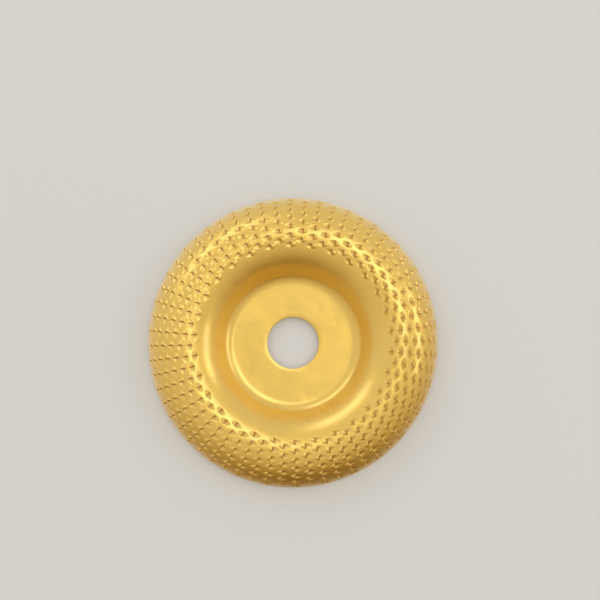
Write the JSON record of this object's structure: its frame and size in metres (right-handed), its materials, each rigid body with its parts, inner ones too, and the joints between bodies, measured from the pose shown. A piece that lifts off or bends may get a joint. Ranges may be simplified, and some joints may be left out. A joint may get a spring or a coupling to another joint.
{
  "type": "angle grinder carving disc",
  "caption": "Dished steel carving disc for an angle grinder: a flat hub with a central bore, and a rounded crown covered in rings of raised rasp teeth, finished in gold.",
  "frame": {"origin": "on the bore's axis, in the hub's back face, which sits on the grinder's flange", "axes": "+Z along the bore, out of the toothed working side; +X and +Y in the hub's plane, with +Y up in the picture"},
  "size_m": [0.125, 0.125, 0.015],
  "materials": {
    "gold_steel": "gloss gold coating on pressed steel"
  },
  "bodies": {
    "root": {"disc_body": "gold_steel", "tooth_ring_01": "gold_steel", "tooth_ring_02": "gold_steel", "tooth_ring_03": "gold_steel", "tooth_ring_04": "gold_steel", "tooth_ring_05": "gold_steel", "tooth_ring_06": "gold_steel", "tooth_ring_07": "gold_steel", "tooth_ring_08": "gold_steel", "tooth_ring_09": "gold_steel", "tooth_ring_10": "gold_steel", "tooth_ring_11": "gold_steel", "tooth_ring_12": "gold_steel", "tooth_ring_13": "gold_steel"}
  },
  "joints": []
}
